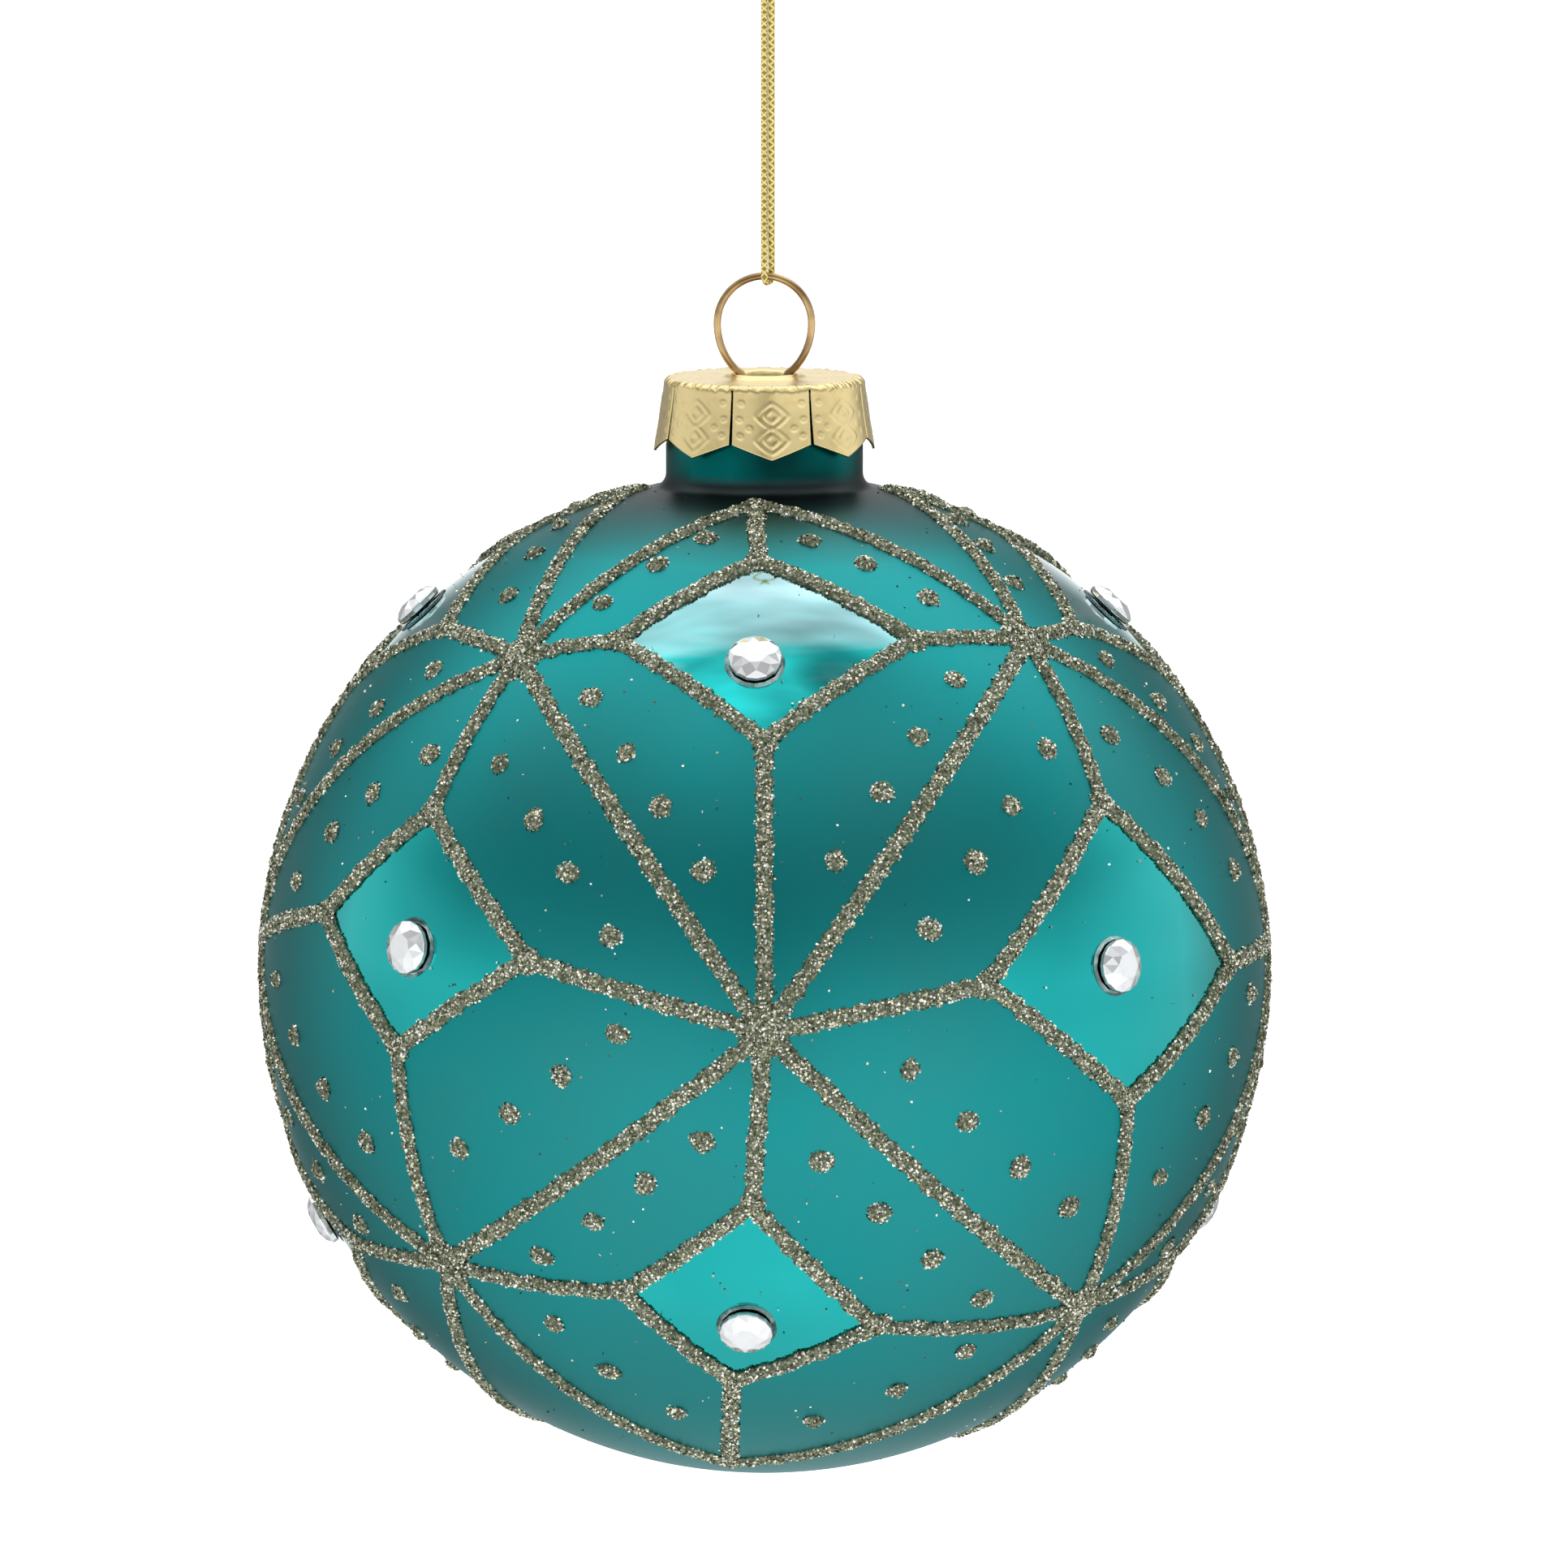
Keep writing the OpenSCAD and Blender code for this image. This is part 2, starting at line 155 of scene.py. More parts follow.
def braided(line, thick):
    """A braid along a line: yarns that wind both ways over a dark core and dip under each other."""
    first, second = sides_of(line)
    far = np.concatenate([[0], np.cumsum(np.linalg.norm(np.diff(line, axis=0), axis=1))])
    thick = np.broadcast_to(thick, len(line))
    parts = [(*tube(line, core_share * thick, 8), core, True)]
    for way in (-1, 1):
        for k in range(yarns):
            turn = way * far / braid_pitch * 2 * np.pi + k * 2 * np.pi / yarns
            dip = way * np.cos(yarns * 2 * np.pi * far / braid_pitch)
            out = (thick * (yarn_out + yarn_dip * dip))[:, None]
            path = line + out * (np.cos(turn)[:, None] * first + np.sin(turn)[:, None] * second)
            parts.append((*tube(path, yarn_share * thick, 8), yarn, True))
    return parts


class Socket:
    """One output of a shader node. Sums with it add Math nodes to its finish."""

    def __init__(self, finish, plug):
        self.finish = finish
        self.plug = plug

    def maths(self, operation, a, b):
        return self.finish.node("Math", {"operation": operation}, {0: a, 1: b})

    def __add__(self, other):
        return self.maths("ADD", self, other)

    def __radd__(self, other):
        return self.maths("ADD", other, self)

    def __sub__(self, other):
        return self.maths("SUBTRACT", self, other)

    def __rsub__(self, other):
        return self.maths("SUBTRACT", other, self)

    def __mul__(self, other):
        return self.maths("MULTIPLY", self, other)

    def __rmul__(self, other):
        return self.maths("MULTIPLY", other, self)

    def step(self, low, high):
        """0 below low, 1 above high and an even rise between."""
        ends = {"From Min": low, "From Max": high}
        return self.finish.node("MapRange", {"clamp": True}, {"Value": self, **ends})


class Nodes:
    """The node tree of a material or a world, built up from nothing."""

    def __init__(self, owner):
        owner.use_nodes = True
        self.owner = owner
        self.tree = owner.node_tree
        self.tree.nodes.clear()

    def node(self, kind, settings=None, inputs=None, out=0):
        made = self.tree.nodes.new("ShaderNode" + kind)
        for key, value in (settings or {}).items():
            if key != "stops":
                setattr(made, key, value)
                continue
            ramp = made.color_ramp.elements
            while len(ramp) < len(value):
                ramp.new(0.5)
            for stop, (place, colour) in zip(ramp, value):
                stop.position = place
                stop.color = (*colour, 1)
        for key, value in (inputs or {}).items():
            socket = made.inputs[key]
            if isinstance(value, Socket):
                self.tree.links.new(value.plug, socket)
            elif socket.type == "RGBA":
                socket.default_value = (*value, 1)
            else:
                socket.default_value = value
        return Socket(self, made.outputs[out]) if made.outputs else made


class Finish(Nodes):
    """A material built up from nodes."""

    def __init__(self, name):
        super().__init__(bpy.data.materials.new(name))

    def place(self):
        return self.node("TexCoord", out="Object")

    def noise(self, scale, detail=2.0, place=None):
        where = place or self.place()
        return self.node("TexNoise", {}, {"Vector": where, "Scale": scale, "Detail": detail})

    def blend(self, share, a, b):
        """Colour a, going over to colour b as the share goes from 0 to 1."""
        return self.node("Mix", {"data_type": "RGBA"}, {0: share, 6: a, 7: b}, out=2)

    def bump(self, height, strength, depth):
        return self.node("Bump", {}, {"Height": height, "Strength": strength, "Distance": depth})

    def surface(self, **inputs):
        """The shader itself: each keyword is one of its sockets."""
        named = {key.replace("_", " ").title().replace("Ior", "IOR"): value for key, value in inputs.items()}
        shader = self.node("BsdfPrincipled", {}, named)
        self.node("OutputMaterial", {}, {"Surface": shader})
        return self.owner


def in_groups(faces):
    """Faces as arrays, each with one number of corners."""
    if isinstance(faces, tuple):
        return faces
    return [np.array([f for f in faces if len(f) == n]) for n in sorted({len(f) for f in faces})]


def piece(name, parts, body, stands_for=()):
    """One object from parts, each its points, faces, material and True where it is shaded smooth."""
    points, corners, sizes, looks, smooth, materials = [], [], [], [], [], []
    count = 0
    for part_points, part_faces, material, soft in parts:
        if material not in materials:
            materials.append(material)
        points.append(np.asarray(part_points, float))
        for group in in_groups(part_faces):
            corners.append((group + count).ravel())
            sizes.append(np.full(len(group), group.shape[1]))
            looks.append(np.full(len(group), materials.index(material)))
            smooth.append(np.full(len(group), soft))
        count += len(part_points)
    corners, sizes = np.concatenate(corners), np.concatenate(sizes)
    mesh = bpy.data.meshes.new(name)
    mesh.vertices.add(count)
    mesh.vertices.foreach_set("co", np.vstack(points).ravel())
    mesh.loops.add(len(corners))
    mesh.loops.foreach_set("vertex_index", corners)
    mesh.polygons.add(len(sizes))
    mesh.polygons.foreach_set("loop_start", np.cumsum(sizes) - sizes)
    mesh.polygons.foreach_set("material_index", np.concatenate(looks))
    mesh.polygons.foreach_set("use_smooth", np.concatenate(smooth))
    for material in materials:
        mesh.materials.append(material)
    mesh.update(calc_edges=True)
    made = bpy.data.objects.new(name, mesh)
    bpy.context.collection.objects.link(made)
    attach(made, body)
    if stands_for:
        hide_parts(*stands_for)
    return made


yarn_finish = Finish("metallic yarn")
strand = yarn_finish.noise(9000, 3.0)
yarn = yarn_finish.surface(
    base_color=yarn_finish.blend(strand.step(0.3, 0.55), cord_shade, cord_gold),
    metallic=0.45,
    roughness=0.34,
    normal=yarn_finish.bump(strand, 0.4, 0.00003),
)
core_finish = Finish("shade inside the braid")
fuzz = core_finish.noise(9000, 2.0)
core = core_finish.surface(
    base_color=core_finish.blend(0.5 * fuzz, core_shade, cord_shade),
    metallic=0.3,
    roughness=0.6,
)

cord_line = smooth_line(np.array(cord_route) / 1000, cord_step)
from_bight = np.linalg.norm(cord_line - np.array(bight) / 1000, axis=1)
squeezed = cord_d * (1 - squeeze * np.exp(-((from_bight / squeeze_reach) ** 2)))
cord = piece("cord_loop", braided(cord_line, squeezed), "cord_loop", ["cord"])

# ---- knot ---------------------------------------------------------------------------------------
# An overhand knot ties both ends of the cord together over the eye. The two cut ends stand up out
# of it and spread a little.
knot_turns = 1.35
knot_r = 0.66
knot_low = 1.05
knot_high = 3.1


def knot_strand(side):
    """One end of the cord: up from the eye, round the other end, and out at the top."""
    turn = np.linspace(0, knot_turns * 2 * np.pi, 15) + (0 if side > 0 else np.pi)
    rise = np.linspace(knot_low, knot_high, 15) + 0.25 * np.sin(turn)
    wrap = np.stack([knot_r * np.cos(turn), knot_r * np.sin(turn), rise], axis=1)
    tail = [(0.55 * side, 0, 3.75), (0.85 * side, 0, 5.1), (1.1 * side, 0.1, 6.2), (1.45 * side, 0.15, 7.25)]
    return smooth_line(np.vstack([[(0.3 * side, 0, 0.85)], wrap, tail]) / 1000, cord_step)


knot_parts = [part for side in (-1, 1) for part in braided(knot_strand(side), cord_d)]
knot = piece("cord_knot", knot_parts, "cord_loop", ["knot"])

# ---- glass ball ---------------------------------------------------------------------------------
# Blown glass with a turquoise lacquer over a silvered wall, glossy where the coat leaves it bare.
# The neck goes up into the cap and ends in a cut mouth.
coat_t = 0.00015
glass_t = 0.0009
neck_r = 0.0098
mouth_r = 0.0092
neck_curve = 0.0015
curve_z = math.sqrt((ball_r + neck_curve) ** 2 - (neck_r + neck_curve) ** 2)
bare_z = curve_z + 0.0028
rim_z = curve_z + 0.009
lacquer_deep = (0.0, 0.43, 0.43)
lacquer_light = (0.004, 0.5, 0.49)
# The pale colour is a painted highlight at the top of the ball.
lacquer_painted_highlight = (0.36, 0.6, 0.64)
# The lacquer goes pale towards the top in two stretches, with soft streaks across it: a painted highlight,
# seen in the upper windows. Heights are above the ball's middle.
highlight_low = mid_z + 0.0343
highlight_mid = mid_z + 0.037
highlight_high = mid_z + 0.043


def shoulder(r, neck, curve, rings):
    """Half of a ball's outline from its bottom to the straight neck, as (distance, height)."""
    meet = math.asin((neck + curve) / (r + curve))
    ball_turn = np.linspace(math.pi, meet, rings)
    line = [(r * math.sin(t), r * math.cos(t)) for t in ball_turn]
    line[0] = (0.0, -r)
    top = math.sqrt((r + curve) ** 2 - (neck + curve) ** 2)
    for t in np.linspace(meet, math.pi / 2, 9)[1:]:
        line.append((neck + curve - curve * math.sin(t), top - curve * math.cos(t)))
    return line


def revolve(outline, turns):
    """Points and faces of an outline turned about the ball's axis. Points on the axis are poles."""
    turn = np.arange(turns) * 2 * np.pi / turns
    points, rings = [], []
    for far, high in outline:
        start = len(points)
        spin = [(far * math.cos(t), far * math.sin(t), high) for t in turn] if far > 0 else [(0, 0, high)]
        points += spin
        rings.append([start + i % len(spin) for i in range(turns + 1)])
    faces = []
    for low, high in zip(rings, rings[1:]):
        for i in range(turns):
            corners = [low[i], low[i + 1], high[i + 1], high[i]]
            faces.append(list(dict.fromkeys(corners)))
    return np.array(points) + ball_mid, faces


glass_line = shoulder(ball_r - coat_t, neck_r - coat_t, neck_curve + coat_t, 120)
glass_line += [(neck_r - coat_t, bare_z), (mouth_r, bare_z + 0.002), (mouth_r, rim_z - 0.0002)]
glass_line += [(mouth_r - 0.0002, rim_z), (mouth_r - glass_t, rim_z - 0.0001)]
hollow_r = ball_r - coat_t - glass_t
throat = math.asin((mouth_r - glass_t) / hollow_r)
inner_turn = np.linspace(throat, math.pi, 60)[:-1]
glass_line += [(hollow_r * math.sin(t), hollow_r * math.cos(t)) for t in inner_turn]
glass_line += [(0.0, -hollow_r)]

lacquer = Finish("turquoise lacquer on silvered glass")
flow = lacquer.noise(60, 2.0)
# Painted highlight: higher up, with soft streaks across it, the base colour goes pale.
highlight_streaks = lacquer.noise(1.0, 2.0, lacquer.node("Mapping", {}, {0: lacquer.place(), 3: (45, 45, 420)}))
height = lacquer.node("SeparateXYZ", {}, {0: lacquer.place()}, out="Z") + 0.016 * (highlight_streaks - 0.5)
first_highlight = 0.6 * height.step(highlight_low, highlight_mid)
second_highlight = 0.4 * height.step(highlight_mid, highlight_high)
turquoise = lacquer.blend(flow.step(0.3, 0.7), lacquer_deep, lacquer_light)
lacquered = lacquer.surface(
    base_color=lacquer.blend(first_highlight + second_highlight, turquoise, lacquer_painted_highlight),
    metallic=1.0,
    roughness=0.05,
    coat_weight=0.4,
    coat_roughness=0.02,
    normal=lacquer.bump(flow, 0.15, 0.0004),
)
glass_points, glass_faces = revolve(glass_line, 240)
glass_parts = [(glass_points, glass_faces, lacquered, True)]
piece("ball_glass", glass_parts, "ball", ["glass_ball"])

# ---- frosted coat -------------------------------------------------------------------------------
# A thin satin coat over the whole ball and the lower neck. Twelve diamond windows are left out of
# it, four round the top, four round the middle and four round the bottom.
window_inset = 0.055
coat_teal = (0.012, 0.31, 0.32)
coat_shade = (0.024, 0.285, 0.29)
# Painted shadow: the colour of the dark band round the foot of the neck.
foot_shadow_colour = (0.03, 0.042, 0.044)
# Painted shade: the neck's colours under the cap, dark with lighter blotches.
neck_shade_dark = (0.001, 0.045, 0.044)
neck_shade_pale = (0.0, 0.13, 0.125)
# Where the coat goes dark round the neck's foot, a painted shadow, and where the neck begins, above which the
# coat is painted dark as shade under the cap.
foot_shadow_low = mid_z + 0.0435
foot_shadow_high = mid_z + 0.0487
neck_shade_low = mid_z + 0.0497
neck_shade_high = mid_z + 0.0508

diamond_corners = [
    [(62, -1.5), (48, 26), (35, 0), (48, -25.5)],
    [(62, 89), (46.5, 114.5), (35, 90), (47, 63)],
    [(25.5, 46.5), (4.5, 66.5), (-8.5, 45.5), (6.5, 25.5)],
    [(24.5, 135), (9, 152.5), (-2.5, 134.5), (11, 119)],
    [(-18, -1.5), (-35, 15.5), (-44, -5), (-30, -18.5)],
    [(-19, 90), (-29, 112.5), (-43, 92), (-32, 71)],
]


def towards(spot):
    """The direction from the ball's middle of a latitude and a longitude, 0 being in front."""
    up, round_ = (math.radians(d) for d in spot)
    return np.array([math.cos(up) * math.sin(round_), -math.cos(up) * math.cos(round_), math.sin(up)])


def half_turn(k):
    """The pattern repeats after half a turn, so quarters 2 and 3 are quarters 0 and 1 turned."""
    return 0 if k < 2 else 180


def diamond(row, k):
    corners = diamond_corners[2 * row + k % 2]
    return [towards((up, round_ + half_turn(k))) for up, round_ in corners]


coat_line = shoulder(ball_r, neck_r, neck_curve, 150)
coat_line += [(neck_r, bare_z), (mouth_r + coat_t, bare_z + 0.002), (mouth_r + coat_t, rim_z - 0.001)]
coat_points, coat_faces = revolve(coat_line, 260)
frost = Finish("frosted teal coat")
grain = frost.noise(4200, 2.0)
cloud = frost.noise(45, 3.0)
high = frost.node("SeparateXYZ", {}, {0: frost.place()}, out="Z")
# Painted shadow: the coat goes dark in a band round the foot of the neck.
foot = high.step(foot_shadow_low, foot_shadow_high)
# Painted shade: above this the neck is dark, as under the cap, with lighter blotches in the shade.
neck = high.step(neck_shade_low, neck_shade_high)
satin = frost.blend(cloud.step(0.35, 0.65), coat_shade, coat_teal)
blotch = frost.noise(110, 1.0).step(0.4, 0.6)
neck_shade_tone = frost.blend(blotch, neck_shade_dark, neck_shade_pale)
frosted = frost.surface(
    base_color=frost.blend(neck, frost.blend(foot, satin, foot_shadow_colour), neck_shade_tone),
    metallic=0.96,
    roughness=0.34 + 0.06 * grain,
    specular_tint=(0.8, 0.8, 0.8),
    normal=frost.bump(grain, 0.12, 0.00002),
)
coat = piece("ball_coat", [(coat_points, coat_faces, frosted, True)], "ball", ["frost_coat"])

shape = bmesh.new()
shape.from_mesh(coat.data)
for row in range(3):
    for k in range(4):
        corners = diamond(row, k)
        centre = unit(sum(corners))
        corners = [unit(centre + (c - centre) * (1 - window_inset)) for c in corners]
        walls = [unit(np.cross(a, b)) for a, b in zip(corners, corners[1:] + corners[:1])]
        walls = [w if w @ centre < 0 else -w for w in walls]
        reach = max(np.linalg.norm(c - centre) for c in corners) * ball_r * 1.15
        middle = Vector(ball_mid + ball_r * centre)
        for wall in walls:
            near = [f for f in shape.faces if (f.calc_center_median() - middle).length < reach]
            around = {v for f in near for v in f.verts} | {e for f in near for e in f.edges} | set(near)
            cut = {"plane_co": Vector(ball_mid), "plane_no": Vector(wall)}
            bmesh.ops.bisect_plane(shape, geom=list(around), dist=1e-7, **cut)
        inside = []
        for f in shape.faces:
            spot = f.calc_center_median()
            out = spot - Vector(ball_mid)
            if (spot - middle).length < reach and all(out.dot(Vector(w)) < 0 for w in walls):
                inside.append(f)
        bmesh.ops.delete(shape, geom=inside, context="FACES")
shape.to_mesh(coat.data)
shape.free()
skin = coat.modifiers.new("skin", "SOLIDIFY")
skin.thickness = coat_t * 0.9
skin.offset = -1

# ---- glitter lines ------------------------------------------------------------------------------
# Glue is piped on by hand in lines that cross at the hubs, and glitter is shaken over it while it
# is wet. The beads are uneven, and the flakes lie at every angle.
line_w = 0.00178
line_h = 0.00052
line_sunk = 0.00017
hub_w = 0.0052
joint_w = 0.003
corner_w = 0.0027
flake_r = (0.0001, 0.000185)
flakes_per_mm2 = 23
specks = 240
flake_t = 0.00006
flake_tilt = 0.6
flake_lift = 0.00005

mid_hubs = [(2, 0), (4, 90)]
upper_hubs = [(46.5, 48), (44.5, 138)]
lower_hubs = [(-35.5, 49.5), (-28.5, 135)]
top_joints = [(75, -4), (75, 88)]
low_joints = [(-66.5, -10), (-66.5, 80)]

bead_finish = Finish("glue under the glitter")
crumb = bead_finish.node("TexVoronoi", {}, {"Vector": bead_finish.place(), "Scale": 2600.0}, out="Distance")
bead = bead_finish.surface(
    base_color=bead_finish.blend(crumb.step(0.1, 0.6), (0.4, 0.41, 0.29), (0.1, 0.12, 0.075)),
    metallic=0.35,
    roughness=0.55,
    normal=bead_finish.bump(crumb, 0.6, 0.00008),
)
flake_finish = Finish("champagne glitter")
chance = flake_finish.node("NewGeometry", out="Random Per Island")
flake_tones = [
    (0.0, (0.09, 0.115, 0.065)),
    (0.32, (0.22, 0.245, 0.155)),
    (0.52, (0.5, 0.5, 0.35)),
    (0.66, (0.96, 0.93, 0.7)),
    (1.0, (1.0, 1.0, 1.0)),
]
flaked = flake_finish.surface(
    base_color=flake_finish.node("ValToRGB", {"stops": flake_tones}, {"Fac": chance}),
    metallic=0.88,
    roughness=0.16,
)


def hub(spots, k):
    """The direction of the hub or joint of quarter k, counted round the ball."""
    up, round_ = spots[k % 2]
    return towards((up, round_ + half_turn(k % 4)))


def waves(rng, count=5):
    """A smooth uneven run: a sum of slow waves, about 1 high at most."""
    speed = 2 * np.pi * rng.uniform(0.12, 0.75, count) * 1000
    start = rng.uniform(0, 2 * np.pi, count)
    return lambda far: np.sin(far[..., None] * speed + start).sum(axis=-1) / count


def flakes(points, out, rng):
    """Glitter: at each place a flat four-cornered flake, tilted at random, on a low point below it."""
    count = len(points)
    tipped = unit(out + flake_tilt * rng.normal(size=(count, 3)))
    across = unit(np.cross(tipped, unit(rng.normal(size=(count, 3)))))
    other = np.cross(tipped, across)
    wide = rng.uniform(*flake_r, count)[:, None]
    long_ = wide * rng.uniform(0.7, 1.2, count)[:, None]
    tips = [points + wide * across, points + long_ * other, points - wide * across, points - long_ * other]
    tips.append(points - flake_t * tipped)
    start = np.arange(count)[:, None] * 5
    under = np.array([(1, 0, 4), (2, 1, 4), (3, 2, 4), (0, 3, 4)])
    faces = (start + np.arange(4), (start[:, None] + under).reshape(-1, 3))
    return np.stack(tips, axis=1).reshape(-1, 3), faces, flaked, False


def line_of_glitter(a, b, rng):
    """The bead from direction a to b, and its flakes."""
    angle = math.acos(float(np.clip(a @ b, -1, 1)))
    side = unit(np.cross(a, b))
    front = np.cross(side, a)
    width, drift, rise, left, right = (waves(rng) for _ in range(5))

    def point(far, share):
        half = line_w / 2 * (1 + 0.12 * width(far) + np.where(share < 0, 0.14 * left(far), 0.14 * right(far)))
        over = (share * half + 0.00018 * drift(far)) / ball_r
        turn = far / ball_r
        way = np.cos(turn)[..., None] * a + np.sin(turn)[..., None] * front
        way = np.cos(over)[..., None] * way + np.sin(over)[..., None] * side
        dome = np.clip(1 - share**2, 0, 1) ** 0.7
        high = -line_sunk + (line_h + line_sunk) * (1 + 0.16 * rise(far)) * dome
        return way, ball_r + high

    stops = np.linspace(0, angle * ball_r, max(4, round(angle * ball_r / 0.0004)))
    shares = np.array([-1, -0.8, -0.5, -0.17, 0.17, 0.5, 0.8, 1])
    way, far_out = point(stops[:, None] * np.ones(8), shares[None] * np.ones((len(stops), 1)))
    sole = ball_r - 0.0002
    top = way * far_out[..., None]
    under = way[:, [6, 1]] * sole
    rings = np.concatenate([top, under], axis=1)
    ring = np.arange(10)
    start = np.arange(len(stops) - 1)[:, None] * 10
    corners = [start + ring, start + 10 + ring, start + 10 + (ring + 1) % 10, start + (ring + 1) % 10]
    last = (len(stops) - 1) * 10
    faces = (np.stack(corners, axis=-1).reshape(-1, 4), np.array([ring, last + ring[::-1]]))
    glue_line = (rings.reshape(-1, 3) + ball_mid, faces, bead, True)

    count = round(angle * ball_r * line_w * 1e6 * flakes_per_mm2)
    far = rng.uniform(0, angle * ball_r, count)
    share = rng.uniform(-1.03, 1.03, count)
    way, far_out = point(far, share)
    lean = unit(way + 0.55 * share[:, None] * side)
    places = way * (np.maximum(far_out, ball_r + 0.00002) + flake_lift)[:, None] + ball_mid
    return [glue_line, flakes(places, lean, rng)]


def blob_of_glitter(way, wide, rng):
    """A round, uneven dab of glue at direction way, and its flakes."""
    across = unit(np.cross(way, [0.3, 0.2, 1]))
    other = np.cross(way, across)
    wobble, rise = waves(rng, 3), waves(rng, 3)
    stretch = rng.uniform(0.92, 1.14)

    def point(turn, share):
        spread = wide / 2 * share * (1 + 0.09 * wobble(turn / 1000))
        over = spread / ball_r
        flat = np.cos(turn)[..., None] * across * stretch + np.sin(turn)[..., None] * other / stretch
        out = unit(way + over[..., None] * flat)
        dome = np.clip(1 - share**2, 0, 1) ** 0.7
        return out, ball_r - line_sunk + (line_h + 0.00022) * dome * (1 + 0.12 * rise(turn / 1000))

    turn = np.arange(16) * 2 * np.pi / 16
    rings = [0.25, 0.5, 0.72, 0.9, 1.0]
    points, faces = [way * (ball_r + line_h)], []
    for share in rings:
        out, far_out = point(turn, np.full(16, share))
        points += list(out * far_out[:, None])
    points += list(out * (ball_r - 0.0002))
    for i in range(16):
        j = (i + 1) % 16
        faces.append([0, 1 + i, 1 + j])
        for n in range(len(rings)):
            faces.append([1 + 16 * n + i, 17 + 16 * n + i, 17 + 16 * n + j, 1 + 16 * n + j])
    faces.append([len(points) - 16 + i for i in range(16)][::-1])
    dab = (np.array(points) + ball_mid, faces, bead, True)
    count = round(math.pi * (wide / 2) ** 2 * 1e6 * flakes_per_mm2 * 1.15)
    turn = rng.uniform(0, 2 * np.pi, count)
    share = np.sqrt(rng.uniform(0, 1.12, count))
    out, far_out = point(turn, share)
    lean = unit(out + 0.5 * share[:, None] * (out - way * (out @ way)[:, None]) * ball_r / (wide / 2))
    places = out * (np.maximum(far_out, ball_r + 0.00002) + flake_lift)[:, None] + ball_mid
    return [dab, flakes(places, lean, rng)]


def corner_lines(k):
    top, side, low = diamond(0, k), diamond(1, k), diamond(2, k)
    return [
        (top[1], hub(upper_hubs, k)),
        (top[2], hub(mid_hubs, k)),
        (top[3], hub(upper_hubs, k + 3)),
        (side[0], hub(upper_hubs, k)),
        (side[1], hub(mid_hubs, k + 1)),
        (side[2], hub(lower_hubs, k)),
        (side[3], hub(mid_hubs, k)),
        (low[0], hub(mid_hubs, k)),
        (low[1], hub(lower_hubs, k)),
        (low[3], hub(lower_hubs, k + 3)),
    ]


def loose_specks(k, rng):
    """Single flakes that fell beside the lines, on the coat and in the windows."""
    up = np.arcsin(rng.uniform(-0.95, 0.985, specks))
    round_ = math.radians(90 * k - 45) + rng.uniform(0, np.pi / 2, specks)
    out = np.stack([np.cos(up) * np.sin(round_), -np.cos(up) * np.cos(round_), np.sin(up)], axis=1)
    return flakes(out * (ball_r + 0.00002) + ball_mid, out, rng)


for k in range(4):
    rng = np.random.RandomState(11 + k)
    lines = corner_lines(k)
    lines += [(hub(mid_hubs, k), hub(ends, k + turn)) for ends in (upper_hubs, lower_hubs) for turn in (0, 3)]
    for joints, ends in ((top_joints, upper_hubs), (low_joints, lower_hubs)):
        lines += [(hub(joints, k), hub(ends, k + turn)) for turn in (0, 3)]
    lines += [(diamond(0, k)[0], hub(top_joints, k)), (diamond(2, k)[2], hub(low_joints, k))]
    parts = [part for a, b in lines for part in line_of_glitter(a, b, rng)]
    for spots in (mid_hubs, upper_hubs, lower_hubs):
        parts += blob_of_glitter(hub(spots, k), hub_w, rng)
    for spots in (top_joints, low_joints):
        parts += blob_of_glitter(hub(spots, k), joint_w, rng)
    parts.append(loose_specks(k, rng))
    piece(f"glitter_lines_{k + 1}", parts, "ball", [f"glitter_net_{k + 1}"])

# The outline of each window is piped separately, over the edge of the coat.
for row in range(3):
    for k in range(4):
        n = 4 * row + k + 1
        rng = np.random.RandomState(39 + n)
        corners = diamond(row, k)
        parts = []
        for a, b in zip(corners, corners[1:] + corners[:1]):
            parts += line_of_glitter(a, b, rng)
        for corner in corners:
            parts += blob_of_glitter(corner, corner_w, rng)
        piece(f"glitter_diamond_{n}", parts, "ball", [f"diamond_line_{n}"])

# ---- glitter dots -------------------------------------------------------------------------------
# Rows of dots follow the lines that leave the middle hubs and the two ends. Each is one dab of
# glue under glitter, and no two are quite the same.
dot_d = 0.0022
high_row = (0.33, 0.49, 0.63, 0.79)
low_row = (0.25, 0.41, 0.57, 0.74)
end_row = (0.26, 0.46, 0.69)
foot_row = (0.3, 0.53, 0.73)


def dot_rows(k):
    """Each row's line, how far to the left of it the dots lie in mm, and their shares of its length."""
    mid, up, up_back = hub(mid_hubs, k), hub(upper_hubs, k), hub(upper_hubs, k + 3)
    low, low_back = hub(lower_hubs, k), hub(lower_hubs, k + 3)
    top, foot = hub(top_joints, k), hub(low_joints, k)
    return [
        (mid, up_back, -4, high_row),
        (mid, up_back, 7, high_row),
        (mid, up, 4, high_row),
        (mid, up, -7.3, high_row),
        (mid, low, 7, low_row),
        (mid, low, -5.3, low_row),
        (mid, low_back, 4.6, low_row),
        (mid, low_back, -8.6, low_row),
        (top, up_back, 2.6, end_row),
        (top, up, -4.4, end_row),
        (foot, low_back, -7.3, foot_row),
        (foot, low, 8, foot_row),
    ]


